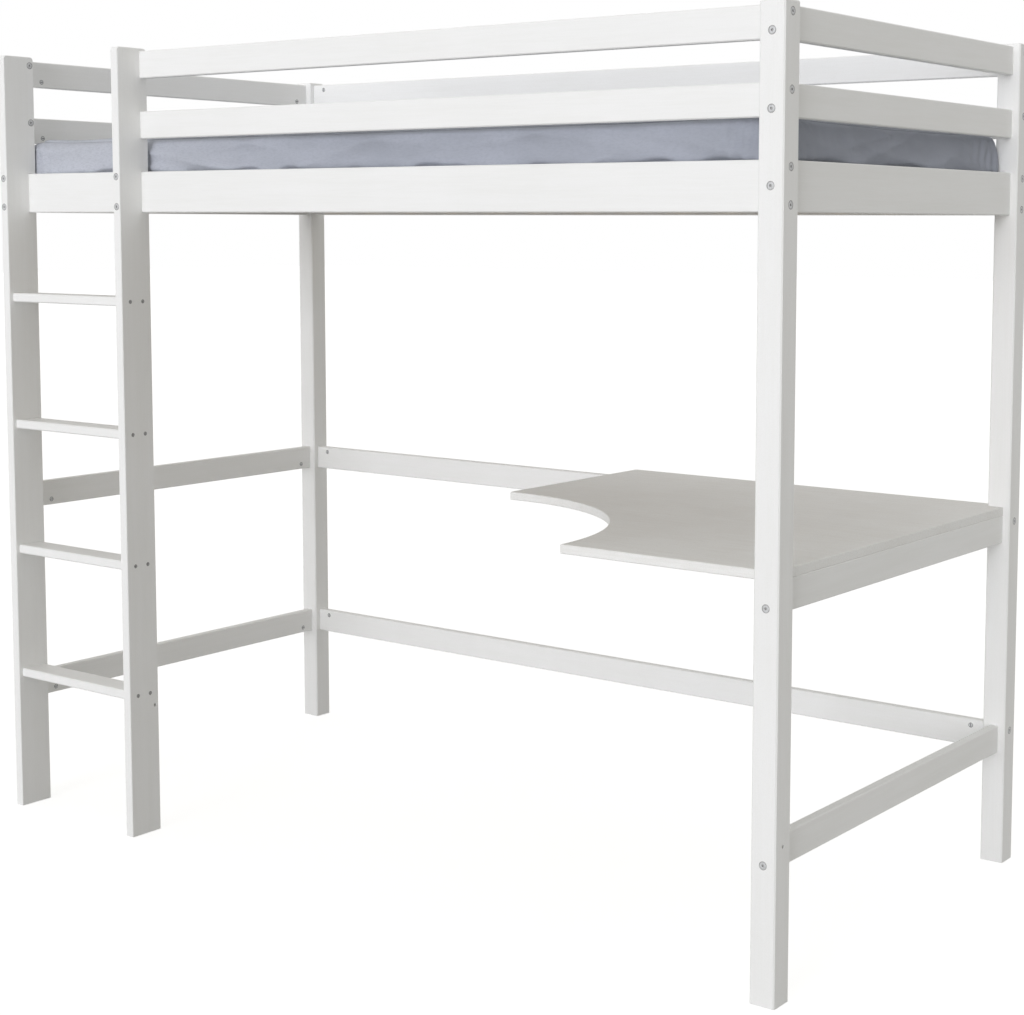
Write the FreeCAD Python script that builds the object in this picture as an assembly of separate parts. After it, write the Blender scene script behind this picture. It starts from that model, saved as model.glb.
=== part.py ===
import FreeCAD, Part
import math
import os

# A painted timber loft bed: four square posts, bolted rails, a ladder of two planks and four treads,
# a desk top lying on the rails under the bed, and a slatted base with a loose mattress.
# Millimetres, +Z up, +X along the bed to the desk end, +Y to the back. The origin is on the floor
# at the middle of the bed's outside box.

# Mattress, and the room it has inside the rails
mattress_length = 2000.0
mattress_width = 900.0
mattress_thick = 124.0
mattress_end_gap = 7.0
mattress_side_gap = 10.0
mattress_rest_gap = 0.3
mattress_corner_radius = 32.0
mattress_edge_round = 16.0
mattress_edge_angles = (0, 45, 90)
mattress_crown = 6.0
mattress_crown_reach = 24.0
mattress_pull_in = 4.0

# Timber sections
post_side = 50.0
post_height = 1730.0
post_edge_ease = 2.5
rail_thick = 20.0
rail_height = 58.0
deep_rail_height = 88.0
rail_edge_ease = 2.0

# Levels: the bed and its guard rails hang down from the posts' tops, the other rails go by the floor
post_above_guard = 6.0
guard_gap = 71.0
desk_rail_bottom = 691.0
low_rail_bottom = 240.0

# Ladder
plank_thick = 22.0
plank_depth = 80.0
plank_edge_ease = 1.5
plank_top_round = 8.0
ladder_clear_width = 366.0
notch_clearance = 0.5
tread_count = 4
tread_depth = 60.0
tread_thick = 20.0
tread_edge_ease = 2.5
first_tread_top = 325.0
last_step_up = 271.0

# Desk top, measured from its right and back edges
desk_thick = 18.0
desk_length = 970.0
desk_cut_radius = 478.0
desk_cut_inset = 28.0
desk_edge_ease = 1.5
desk_post_clearance = 1.0

# Slatted base
cleat_width = 25.0
cleat_height = 22.0
cleat_end_gap = 55.0
cleat_edge_ease = 2.0
slat_count = 14
slat_width = 70.0
slat_thick = 16.0
slat_side_gap = 5.0
slat_end_margin = 5.0
slat_edge_ease = 2.5
strap_width = 25.0
strap_thick = 1.5
strap_spread = 520.0

# Knock-down fittings. Their outlines have few sides, because so many are alike
head_sides = 10
shank_sides = 8
bolt_dia = 6.0
bolt_head_dia = 14.0
bolt_head_thick = 3.0
bolt_socket_sides = 6
bolt_socket_dia = 4.6
bolt_socket_depth = 2.0
bolt_clearance = 0.6
head_clearance = 1.0
bolt_nut_gap = 0.3
bolt_edge = 13.0
deep_bolt_edge = 12.0
nut_setback = 35.0
nut_dia = 10.0
nut_length = 15.0
nut_clearance = 0.3
nut_bore_clearance = 0.2
tee_sleeve_dia = 9.0
tee_sleeve_length = 15.0
tee_flange_thick = 2.0
tee_clearance = 0.4
spare_hole_dia = 7.0

# Wood screws
screw_sides = 8
tread_screw_spread = 34.0
tread_screw_dia = 5.0
tread_screw_head_dia = 8.0
tread_screw_head = 3.0
tread_screw_sink = 1.5
tread_screw_length = 45.0
desk_screw_dia = 4.5
desk_screw_head_dia = 8.5
desk_screw_head = 3.0
desk_screw_pocket = 32.0
desk_screw_bite = 12.0
desk_screw_end_margin = 130.0
screw_clearance = 0.4

# How far a cutter runs past a face, the length that counts as none, and a radius' share at 45 degrees
cut_overrun = 1.0
no_length = 0.001
diagonal = math.sqrt(0.5)

# Sizes worked out from the values above
rail_setback = (post_side - rail_thick) / 2
inner_length = mattress_length + 2 * mattress_end_gap
inner_width = mattress_width + 2 * mattress_side_gap
bed_length = inner_length + 2 * (rail_thick + rail_setback)
bed_width = inner_width + 2 * (rail_thick + rail_setback)
ladder_reach = plank_depth - rail_setback - rail_thick
total_depth = bed_width + ladder_reach
left_x = -bed_length / 2
right_x = bed_length / 2
back_y = total_depth / 2
front_y = back_y - bed_width
plank_front_y = front_y - ladder_reach
front_rail_y = front_y + post_side / 2
back_rail_y = back_y - post_side / 2
left_rail_x = left_x + post_side / 2
right_rail_x = right_x - post_side / 2
top_guard_bottom = post_height - post_above_guard - rail_height
lower_guard_bottom = top_guard_bottom - guard_gap - rail_height
bed_rail_top = lower_guard_bottom - guard_gap
bed_rail_bottom = bed_rail_top - deep_rail_height
tread_pitch = (bed_rail_top - last_step_up - first_tread_top) / (tread_count - 1)
desk_rail_top = desk_rail_bottom + rail_height
left_plank_x = left_x + post_side
right_plank_x = left_plank_x + plank_thick + ladder_clear_width
plank_middle_y = plank_front_y + plank_depth / 2
cleat_top = bed_rail_bottom + cleat_height
slat_top = cleat_top + slat_thick
mattress_bottom = slat_top + mattress_rest_gap
middle_y = (front_y + back_y) / 2

along_x = FreeCAD.Vector(1, 0, 0)
along_y = FreeCAD.Vector(0, 1, 0)
along_z = FreeCAD.Vector(0, 0, 1)

nodes = {}


# Shapes that several pieces share

def point(x, y, z):
    return FreeCAD.Vector(x, y, z)


def box(low, high):
    size = high - low
    return Part.makeBox(size.x, size.y, size.z, low)


def ring(middle, direction, dia, sides):
    """A regular outline square to a direction, measured across its corners."""
    side = along_z if direction.cross(along_z).Length > no_length else along_x
    other = direction.cross(side)
    corners = []
    for step in range(sides + 1):
        angle = 2 * math.pi / sides * step
        offset = side * math.cos(angle) + other * math.sin(angle)
        corners.append(middle + offset * (dia / 2))
    return Part.makePolygon(corners)


def pin(start, direction, dia, length, sides):
    """A straight shank, head or hole of a fastener."""
    return Part.Face(ring(start, direction, dia, sides)).extrude(direction * length)


def edges_along(shape, direction):
    """The straight edges that run along a direction."""
    found = []
    for edge in shape.Edges:
        run = edge.Vertexes[-1].Point - edge.Vertexes[0].Point
        if run.Length > no_length and run.cross(direction).Length < no_length:
            found.append(edge)
    return found


def eased_bar(low, high, direction, ease):
    """A bar with its four long edges broken."""
    bar = box(low, high)
    return bar.makeChamfer(ease, edges_along(bar, direction))


def cut_all(shape, cutters):
    if not cutters:
        return shape
    return shape.cut(Part.makeCompound(cutters)).removeSplitter()


# Fasteners, each with the holes that it needs

def bolt(head_face, direction, length):
    """A flat-head bolt that sinks from a face along a direction, with a hexagon socket in its head."""
    head = pin(head_face, direction, bolt_head_dia, bolt_head_thick, head_sides)
    shank = pin(head_face, direction, bolt_dia, length, shank_sides)
    socket = pin(head_face, direction, bolt_socket_dia, bolt_socket_depth, bolt_socket_sides)
    return head.fuse(shank).cut(socket).removeSplitter()


def bolt_way(head_face, direction, length):
    """The counterbore and the clearance hole for a bolt."""
    seat = pin(head_face, direction, bolt_head_dia + head_clearance, bolt_head_thick, head_sides)
    way = pin(head_face, direction, bolt_dia + bolt_clearance, length, shank_sides)
    return seat.fuse(way)


def tee_nut(flange_face, direction):
    """A flanged sleeve nut let in flush with a face, open for the bolt that meets it."""
    flange = pin(flange_face, direction, bolt_head_dia, tee_flange_thick, head_sides)
    sleeve = pin(flange_face, direction, tee_sleeve_dia, tee_sleeve_length, shank_sides)
    bore = pin(flange_face, direction, bolt_dia + nut_bore_clearance, tee_sleeve_length, shank_sides)
    return flange.fuse(sleeve).cut(bore).removeSplitter()


def tee_nut_way(flange_face, direction):
    seat = pin(flange_face, direction, bolt_head_dia + head_clearance, tee_flange_thick, head_sides)
    way = pin(flange_face, direction, tee_sleeve_dia + tee_clearance, tee_sleeve_length, shank_sides)
    return seat.fuse(way)


def screw(head_face, direction, shank_dia, head_dia, head_thick, length):
    """A wood screw: a countersunk head on a plain shank."""
    neck = head_face + direction * head_thick
    rim = ring(head_face, direction, head_dia, screw_sides)
    head = Part.makeLoft([rim, ring(neck, direction, shank_dia, screw_sides)], True, True)
    shank = pin(neck, direction, shank_dia, length - head_thick, screw_sides)
    return head.fuse(shank).removeSplitter()


def screw_way(surface, direction, sink, shank_dia, head_dia, head_thick, length):
    """The recess and pilot hole for a wood screw whose head lies under a surface."""
    seat = pin(surface, direction, head_dia + screw_clearance, sink + head_thick, screw_sides)
    way = pin(surface, direction, shank_dia + screw_clearance, sink + length, screw_sides)
    return seat.fuse(way)


post_bolts = []
guard_bolts = []
barrel_nuts = []


def end_joint(end_point, out, inner, support, bolt_heights, bolts):
    """Bolts and barrel nuts that hold one rail end, and the cuts they need.

    out points from the rail into the post or plank, and inner from the rail's middle to its inner face.
    """
    bolt_ways = []
    nut_ways = []
    bolt_length = support + nut_setback - nut_dia / 2 - bolt_nut_gap
    for height in bolt_heights:
        at = end_point + along_z * height
        head_face = at + out * support
        bolts.append(bolt(head_face, -out, bolt_length))
        bolt_ways.append(bolt_way(head_face, -out, support + nut_setback))
        nut_face = at - out * nut_setback + inner * (rail_thick / 2)
        barrel_nuts.append(pin(nut_face, -inner, nut_dia, nut_length, shank_sides))
        nut_ways.append(pin(nut_face, -inner, nut_dia + nut_clearance, nut_length, shank_sides))
    return bolt_ways, nut_ways


# Where the rails go: each level has its lower edge, height and bolt heights

def long_level(bottom):
    """A rail along the bed, with one bolt high in each end."""
    return bottom, rail_height, [bottom + rail_height - bolt_edge]


def end_level(bottom):
    """A rail across an end, with one bolt low in each end, clear of the long rail's."""
    return bottom, rail_height, [bottom + bolt_edge]


bed_rail_middle = bed_rail_bottom + deep_rail_height / 2
deep_bolt_heights = [bed_rail_top - deep_bolt_edge, bed_rail_bottom + deep_bolt_edge]
side_level = (bed_rail_bottom, deep_rail_height, deep_bolt_heights)
head_level = (bed_rail_bottom, deep_rail_height, [bed_rail_middle])

post_places = {
    "front_left_post": point(left_rail_x, front_rail_y, 0),
    "front_right_post": point(right_rail_x, front_rail_y, 0),
    "back_left_post": point(left_rail_x, back_rail_y, 0),
    "back_right_post": point(right_rail_x, back_rail_y, 0),
}
post_cuts = {name: [] for name in post_places}
plank_cuts = {"ladder_left_upright": [], "ladder_right_upright": []}
rail_holes = {}


def rail_between(name, level, start, end, inner, start_support, end_support):
    """One rail from start to end, two points on its end faces' middle lines.

    A support is its list of cuts, its depth, its list of bolts, and whether bolts go in.
    """
    bottom, height, bolt_heights = level
    run = (end - start).normalize()
    half = inner * (rail_thick / 2)
    corners = [start - half, start + half, end - half, end + half]
    low = point(min(c.x for c in corners), min(c.y for c in corners), bottom)
    high = point(max(c.x for c in corners), max(c.y for c in corners), bottom + height)
    rail = eased_bar(low, high, run, rail_edge_ease)
    cuts = []
    for end_point, out, support in ((start, -run, start_support), (end, run, end_support)):
        support_cuts, depth, bolts, bolted = support
        heights = bolt_heights if bolted else []
        bolt_ways, nut_ways = end_joint(end_point, out, inner, depth, heights, bolts)
        support_cuts.extend(bolt_ways)
        cuts.extend(bolt_ways + nut_ways)
    nodes[name] = rail
    rail_holes[name] = cuts


def on_post(name, bolted=True):
    return post_cuts[name], post_side, post_bolts, bolted


def on_plank(name):
    return plank_cuts[name], plank_thick, guard_bolts, True


def rail_along(name, level, y, inner, left, right, start_x=left_x + post_side):
    start = point(start_x, y, 0)
    end = point(right_x - post_side, y, 0)
    rail_between(name, level, start, end, inner, left, right)


def rail_across(name, level, x, inner, front, back):
    start = point(x, front_y + post_side, 0)
    end = point(x, back_y - post_side, 0)
    rail_between(name, level, start, end, inner, front, back)


# Rails of the front: the side rail runs on behind the ladder, the guard rails stop at it
rail_along("front_side_rail", side_level, front_rail_y, along_y,
           on_post("front_left_post", False), on_post("front_right_post"))
for name, bottom in (("front_top_guard", top_guard_bottom), ("front_lower_guard", lower_guard_bottom)):
    rail_along(name, long_level(bottom), front_rail_y, along_y, on_plank("ladder_right_upright"),
               on_post("front_right_post"), right_plank_x + plank_thick)

# Rails of the back and of both ends
back_levels = {
    "back_side_rail": side_level,
    "back_top_guard": long_level(top_guard_bottom),
    "back_lower_guard": long_level(lower_guard_bottom),
    "back_desk_rail": long_level(desk_rail_bottom),
    "back_low_rail": long_level(low_rail_bottom),
}
for name, level in back_levels.items():
    rail_along(name, level, back_rail_y, -along_y, on_post("back_left_post"), on_post("back_right_post"))

for side, x, inner in (("left", left_rail_x, along_x), ("right", right_rail_x, -along_x)):
    end_levels = {
        "end_rail": head_level,
        "top_guard": end_level(top_guard_bottom),
        "lower_guard": end_level(lower_guard_bottom),
        "desk_rail": end_level(desk_rail_bottom),
        "low_rail": end_level(low_rail_bottom),
    }
    for kind, level in end_levels.items():
        rail_across(side + "_" + kind, level, x, inner,
                    on_post("front_" + side + "_post"), on_post("back_" + side + "_post"))

# Ladder: two planks stand with their thin edges to the front, notched round the side rail
plank_places = {"ladder_left_upright": left_plank_x, "ladder_right_upright": right_plank_x}
tread_screws = []
ladder_rail_bolts = []
ladder_post_bolts = []
tee_nuts = []
inner_face_y = front_rail_y + rail_thick / 2


def plank(x):
    """An upright: a plank with its two upper corners rounded and its outline eased."""
    back = plank_front_y + plank_depth
    round_down = post_height - plank_top_round
    bend = plank_top_round * (1 - diagonal)
    front_foot = point(x, plank_front_y, 0)
    front_top = point(x, plank_front_y, round_down)
    top_front = point(x, plank_front_y + plank_top_round, post_height)
    top_back = point(x, back - plank_top_round, post_height)
    back_top = point(x, back, round_down)
    back_foot = point(x, back, 0)
    front_bend = point(x, plank_front_y + bend, post_height - bend)
    back_bend = point(x, back - bend, post_height - bend)
    outline = [
        Part.LineSegment(back_foot, front_foot).toShape(),
        Part.LineSegment(front_foot, front_top).toShape(),
        Part.Arc(front_top, front_bend, top_front).toShape(),
        Part.LineSegment(top_front, top_back).toShape(),
        Part.Arc(top_back, back_bend, back_top).toShape(),
        Part.LineSegment(back_top, back_foot).toShape(),
    ]
    solid = Part.Face(Part.Wire(outline)).extrude(along_x * plank_thick)
    rims = []
    for edge in solid.Edges:
        spread = edge.BoundBox
        if spread.XLength < plank_thick / 2 and spread.ZMax > no_length:
            rims.append(edge)
    return solid.makeChamfer(plank_edge_ease, rims)


for name, x in plank_places.items():
    middle_x = x + plank_thick / 2
    notch_low = point(x, inner_face_y - rail_thick, bed_rail_bottom - notch_clearance)
    notch_high = point(x + plank_thick, inner_face_y + cut_overrun, bed_rail_top + notch_clearance)
    plank_cuts[name].append(box(notch_low, notch_high))
    for height in deep_bolt_heights:
        head_face = point(middle_x, plank_front_y, height)
        depth = inner_face_y - plank_front_y
        ladder_rail_bolts.append(bolt(head_face, along_y, depth - tee_flange_thick))
        way = bolt_way(head_face, along_y, depth)
        flange_face = point(middle_x, inner_face_y, height)
        tee_nuts.append(tee_nut(flange_face, -along_y))
        plank_cuts[name].append(way)
        rail_holes["front_side_rail"].extend([way, tee_nut_way(flange_face, -along_y)])

# The left plank is bolted to the corner post through the post's guard rail holes
for bottom in (top_guard_bottom, lower_guard_bottom):
    height = bottom + rail_height - bolt_edge
    head_face = point(left_plank_x + plank_thick, front_rail_y, height)
    depth = plank_thick + post_side
    ladder_post_bolts.append(bolt(head_face, -along_x, depth - tee_flange_thick))
    way = bolt_way(head_face, -along_x, depth)
    flange_face = point(left_x, front_rail_y, height)
    tee_nuts.append(tee_nut(flange_face, along_x))
    plank_cuts["ladder_left_upright"].append(way)
    post_cuts["front_left_post"].extend([way, tee_nut_way(flange_face, along_x)])

# Spare holes for a low front rail that is not fitted
spare_height = low_rail_bottom + rail_height - bolt_edge
spare_places = (
    (post_cuts["front_right_post"], right_x - post_side, post_side),
    (plank_cuts["ladder_right_upright"], right_plank_x, plank_thick),
)
for cuts, x, depth in spare_places:
    start = point(x, front_rail_y, spare_height)
    cuts.append(Part.makeCylinder(spare_hole_dia / 2, depth, start, along_x))

# Treads, each held by two screws through either plank
for number in range(tread_count):
    top = first_tread_top + number * tread_pitch
    low = point(left_plank_x + plank_thick, plank_middle_y - tread_depth / 2, top - tread_thick)
    high = point(right_plank_x, plank_middle_y + tread_depth / 2, top)
    tread = eased_bar(low, high, along_x, tread_edge_ease)
    cuts = []
    outer_faces = (
        ("ladder_left_upright", left_plank_x, along_x),
        ("ladder_right_upright", right_plank_x + plank_thick, -along_x),
    )
    for upright, face_x, direction in outer_faces:
        for side in (-1, 1):
            y = plank_middle_y + side * tread_screw_spread / 2
            surface = point(face_x, y, top - tread_thick / 2)
            head_face = surface + direction * tread_screw_sink
            sizes = (tread_screw_dia, tread_screw_head_dia, tread_screw_head, tread_screw_length)
            tread_screws.append(screw(head_face, direction, *sizes))
            way = screw_way(surface, direction, tread_screw_sink, *sizes)
            plank_cuts[upright].append(way)
            cuts.append(way)
    nodes["ladder_tread_%d" % (number + 1)] = cut_all(tread, cuts)

for name, x in plank_places.items():
    nodes[name] = cut_all(plank(x), plank_cuts[name])

# Desk top: a plate on the right and back rails, with a round cut-out where a chair stands
desk_right_x = right_rail_x + rail_thick / 2
desk_left_x = desk_right_x - desk_length
desk_front_y = front_rail_y - rail_thick / 2
desk_back_y = back_rail_y + rail_thick / 2
cut_middle_x = desk_left_x + desk_cut_inset
cut_top_y = desk_front_y + desk_cut_radius
cut_bend = desk_cut_radius * diagonal


def desk_plate():
    z = desk_rail_top
    corners = [
        point(cut_middle_x + desk_cut_radius, desk_front_y, z),
        point(desk_right_x, desk_front_y, z),
        point(desk_right_x, desk_back_y, z),
        point(desk_left_x, desk_back_y, z),
        point(desk_left_x, cut_top_y, z),
        point(cut_middle_x, cut_top_y, z),
    ]
    outline = [Part.LineSegment(a, b).toShape() for a, b in zip(corners, corners[1:])]
    bend = point(cut_middle_x + cut_bend, desk_front_y + cut_bend, z)
    outline.append(Part.Arc(corners[-1], bend, corners[0]).toShape())
    plate = Part.Face(Part.Wire(outline)).extrude(along_z * desk_thick)
    rims = [edge for edge in plate.Edges if edge.BoundBox.ZLength < desk_thick / 2]
    return plate.makeChamfer(desk_edge_ease, rims)


desk_screws = []
desk_cuts = []
for name in ("front_right_post", "back_right_post"):
    reach = post_side / 2 + desk_post_clearance
    place = post_places[name]
    low = point(place.x - reach, place.y - reach, desk_rail_top - cut_overrun)
    high = point(place.x + reach, place.y + reach, desk_rail_top + desk_thick + cut_overrun)
    desk_cuts.append(box(low, high))

desk_screw_length = rail_height - desk_screw_pocket + desk_screw_bite
right_rail_ends = (front_y + post_side, back_y - post_side)
back_rail_ends = (desk_left_x, right_x - post_side)
screw_rows = []
for y in (right_rail_ends[0] + desk_screw_end_margin, right_rail_ends[1] - desk_screw_end_margin):
    screw_rows.append(("right_desk_rail", right_rail_x, y))
for x in (back_rail_ends[0] + desk_screw_end_margin, back_rail_ends[1] - desk_screw_end_margin):
    screw_rows.append(("back_desk_rail", x, back_rail_y))
for rail_name, x, y in screw_rows:
    surface = point(x, y, desk_rail_bottom)
    sizes = (desk_screw_dia, desk_screw_head_dia, desk_screw_head, desk_screw_length)
    desk_screws.append(screw(surface + along_z * desk_screw_pocket, along_z, *sizes))
    way = screw_way(surface, along_z, desk_screw_pocket, *sizes)
    desk_cuts.append(way)
    rail_holes[rail_name].append(way)
nodes["desk_top"] = cut_all(desk_plate(), desk_cuts)

# Slatted base: a cleat along each side rail, slats across them, and two straps that keep them apart
cleat_left_x = left_x + post_side + cleat_end_gap
cleat_right_x = right_x - post_side - cleat_end_gap
back_inner_y = back_rail_y - rail_thick / 2
cleat_fronts = {"front_slat_cleat": inner_face_y, "back_slat_cleat": back_inner_y - cleat_width}
for name, y in cleat_fronts.items():
    low = point(cleat_left_x, y, bed_rail_bottom)
    high = point(cleat_right_x, y + cleat_width, cleat_top)
    nodes[name] = eased_bar(low, high, along_x, cleat_edge_ease)

slat_front_y = inner_face_y + slat_side_gap
slat_back_y = back_inner_y - slat_side_gap
slat_first_x = cleat_left_x + slat_end_margin
slat_step = (cleat_right_x - slat_end_margin - slat_width - slat_first_x) / (slat_count - 1)
for number in range(slat_count):
    x = slat_first_x + number * slat_step
    low = point(x, slat_front_y, cleat_top)
    high = point(x + slat_width, slat_back_y, slat_top)
    nodes["slat_%02d" % (number + 1)] = eased_bar(low, high, along_y, slat_edge_ease)

for name, side in (("front_slat_strap", -1), ("back_slat_strap", 1)):
    y = middle_y + side * strap_spread / 2
    low = point(slat_first_x, y - strap_width / 2, cleat_top - strap_thick)
    high = point(cleat_right_x - slat_end_margin, y + strap_width / 2, cleat_top)
    nodes[name] = box(low, high)

# Mattress: a soft block with rounded corners, sides drawn in between them, and a crowned top


def pad_outline(height, inset):
    """The mattress in plan at a height: four corner arcs, and sides that draw in towards their middles."""
    half_x = mattress_length / 2 - inset
    half_y = mattress_width / 2 - inset
    radius = mattress_corner_radius - inset
    bend = radius * (1 - diagonal)
    z = mattress_bottom + height
    corners = []
    for sx, sy in ((1, -1), (1, 1), (-1, 1), (-1, -1)):
        on_side = point(sx * (half_x - radius), middle_y + sy * half_y, z)
        on_end = point(sx * half_x, middle_y + sy * (half_y - radius), z)
        turn = point(sx * (half_x - bend), middle_y + sy * (half_y - bend), z)
        corners.append((on_end, turn, on_side) if sx * sy > 0 else (on_side, turn, on_end))
    side_middles = [
        point(half_x - mattress_pull_in, middle_y, z),
        point(0, middle_y + half_y - mattress_pull_in, z),
        point(mattress_pull_in - half_x, middle_y, z),
        point(0, middle_y - half_y + mattress_pull_in, z),
    ]
    edges = []
    for number, (before, turn, after) in enumerate(corners):
        following = corners[(number + 1) % len(corners)][0]
        edges.append(Part.Arc(before, turn, after).toShape())
        edges.append(Part.LineSegment(after, side_middles[number]).toShape())
        edges.append(Part.LineSegment(side_middles[number], following).toShape())
    return Part.Wire(edges)


def mattress():
    rim = mattress_edge_round
    shoulder = mattress_thick - mattress_crown
    steps = [math.radians(angle) for angle in mattress_edge_angles]
    levels = [(rim * (1 - math.cos(a)), rim * (1 - math.sin(a))) for a in steps]
    levels += [(shoulder - height, inset) for height, inset in reversed(levels)]
    levels.append((mattress_thick, mattress_crown_reach))
    return Part.makeLoft([pad_outline(height, inset) for height, inset in levels], True, True)


nodes["mattress"] = mattress()

# Posts, rails and fastener groups, with all their holes
for name, place in post_places.items():
    half = post_side / 2
    low = point(place.x - half, place.y - half, 0)
    high = point(place.x + half, place.y + half, post_height)
    post = box(low, high)
    broken = [edge for edge in post.Edges if edge.BoundBox.ZMax > no_length]
    nodes[name] = cut_all(post.makeChamfer(post_edge_ease, broken), post_cuts[name])
for name, cuts in rail_holes.items():
    nodes[name] = cut_all(nodes[name], cuts)

fastener_groups = {
    "post_bolts": post_bolts,
    "guard_bolts": guard_bolts,
    "ladder_rail_bolts": ladder_rail_bolts,
    "ladder_post_bolts": ladder_post_bolts,
    "barrel_nuts": barrel_nuts,
    "tee_nuts": tee_nuts,
    "tread_screws": tread_screws,
    "desk_screws": desk_screws,
}
for name, solids in fastener_groups.items():
    nodes[name] = Part.makeCompound(solids)

os.makedirs("parts", exist_ok=True)
for name, shape in nodes.items():
    shape.exportStep("parts/" + name + ".step")
print(len(nodes), "nodes,", sum(len(shape.Solids) for shape in nodes.values()), "solids")
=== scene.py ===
import bmesh
import bpy
import numpy as np
from mathutils import Matrix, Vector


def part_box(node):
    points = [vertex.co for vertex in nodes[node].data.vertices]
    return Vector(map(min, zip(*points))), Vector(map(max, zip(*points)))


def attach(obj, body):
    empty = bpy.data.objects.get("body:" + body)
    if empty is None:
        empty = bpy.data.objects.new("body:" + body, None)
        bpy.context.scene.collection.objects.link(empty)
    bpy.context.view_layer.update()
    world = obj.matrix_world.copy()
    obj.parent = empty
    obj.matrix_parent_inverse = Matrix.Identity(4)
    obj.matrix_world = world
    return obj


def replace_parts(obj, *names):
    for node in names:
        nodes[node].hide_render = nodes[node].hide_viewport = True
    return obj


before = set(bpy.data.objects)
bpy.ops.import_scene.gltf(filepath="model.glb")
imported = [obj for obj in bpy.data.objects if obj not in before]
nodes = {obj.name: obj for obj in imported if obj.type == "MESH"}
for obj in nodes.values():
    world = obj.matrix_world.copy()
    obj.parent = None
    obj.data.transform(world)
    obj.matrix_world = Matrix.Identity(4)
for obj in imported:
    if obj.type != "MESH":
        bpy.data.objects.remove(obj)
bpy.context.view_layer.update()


# Posts
# Four square lengths of solid pine with eased edges, sprayed with white satin lacquer before packing.
# They stand on the floor at the corners and carry the rails on bolts through their middles.
class Wire:
    """An output of a shader node. Arithmetic on it, from either side, adds Math nodes."""

    def __init__(self, finish, socket):
        self.finish = finish
        self.socket = socket

    def math(self, operation, *terms):
        return self.finish.node("ShaderNodeMath", {"operation": operation}, dict(enumerate(terms)))

    def __add__(self, other):
        return self.math("ADD", self, other)

    def __radd__(self, other):
        return self.math("ADD", other, self)

    def __sub__(self, other):
        return self.math("SUBTRACT", self, other)

    def __rsub__(self, other):
        return self.math("SUBTRACT", other, self)

    def __mul__(self, other):
        return self.math("MULTIPLY", self, other)

    def __rmul__(self, other):
        return self.math("MULTIPLY", other, self)

    def sine(self):
        return self.math("SINE", self)

    def wave(self, pitch):
        """A sine of a length in metres, with one full turn to the pitch."""
        return (self * (2 * np.pi / pitch)).sine()

    def size(self):
        return self.math("ABSOLUTE", self)

    def sign(self):
        return self.math("SIGN", self)


class Finish:
    """The nodes of one material of the bed or the floor, or of the sky, added one by one."""

    def __init__(self, owner):
        self.owner = owner
        owner.use_nodes = True
        self.tree = owner.node_tree
        self.tree.nodes.clear()

    def node(self, kind, settings=None, sockets=None, out=0):
        """Adds a node: its settings first, then a value or a Wire for each socket, by name or number."""
        made = self.tree.nodes.new(kind)
        for name, value in (settings or {}).items():
            setattr(made, name, value)
        for place, value in (sockets or {}).items():
            if isinstance(value, Wire):
                self.tree.links.new(value.socket, made.inputs[place])
            else:
                made.inputs[place].default_value = value
        return Wire(self, made.outputs[out]) if len(made.outputs) else None

    def spot(self, stretch=(1.0, 1.0, 1.0)):
        """Object coordinates in metres, with each axis multiplied by its stretch."""
        here = self.node("ShaderNodeTexCoord", out="Object")
        return self.node("ShaderNodeMapping", {}, {"Vector": here, "Scale": stretch})

    def axes(self):
        """Object coordinates in metres as three separate values, along x, y and z."""
        here = self.spot()
        return [self.node("ShaderNodeSeparateXYZ", {}, {"Vector": here}, out=axis) for axis in "XYZ"]

    def noise(self, where, pitch, detail, roughness):
        """Noise whose blotches are about one pitch across, in metres, as a value round a half."""
        sockets = {"Vector": where, "Scale": 1.0 / pitch, "Detail": detail, "Roughness": roughness}
        return self.node("ShaderNodeTexNoise", {}, sockets)

    def band(self, value, low, high):
        """The value taken from 0 at low to 1 at high along a smooth step."""
        settings = {"interpolation_type": "SMOOTHSTEP"}
        sockets = {"Value": value, "From Min": low, "From Max": high}
        return self.node("ShaderNodeMapRange", settings, sockets)

    def mix(self, factor, one, other):
        """The colour one where the factor is 0 and the other where it is 1.

        The node's sockets share their names, so the colour ones go by number.
        """
        settings = {"data_type": "RGBA"}
        return self.node("ShaderNodeMix", settings, {0: factor, 6: one, 7: other}, out=2)

    def bump(self, height, depth, strength):
        """A normal from a height of 0 to 1 that stands for that depth in metres."""
        return self.node("ShaderNodeBump", {}, {"Height": height, "Distance": depth, "Strength": strength})

    def close(self, sockets):
        """Joins the sockets' values to the surface and returns the material."""
        skin = self.node("ShaderNodeBsdfPrincipled", {}, sockets)
        self.node("ShaderNodeOutputMaterial", {}, {"Surface": skin})
        return self.owner


def shade(red, green, blue):
    """A colour written as it looks on a screen, 0 to 255, turned to the linear values of a shader."""
    screen = np.array([red, green, blue]) / 255
    linear = np.where(screen < 0.04045, screen / 12.92, ((screen + 0.055) / 1.055) ** 2.4)
    return (*linear.tolist(), 1.0)


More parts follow.
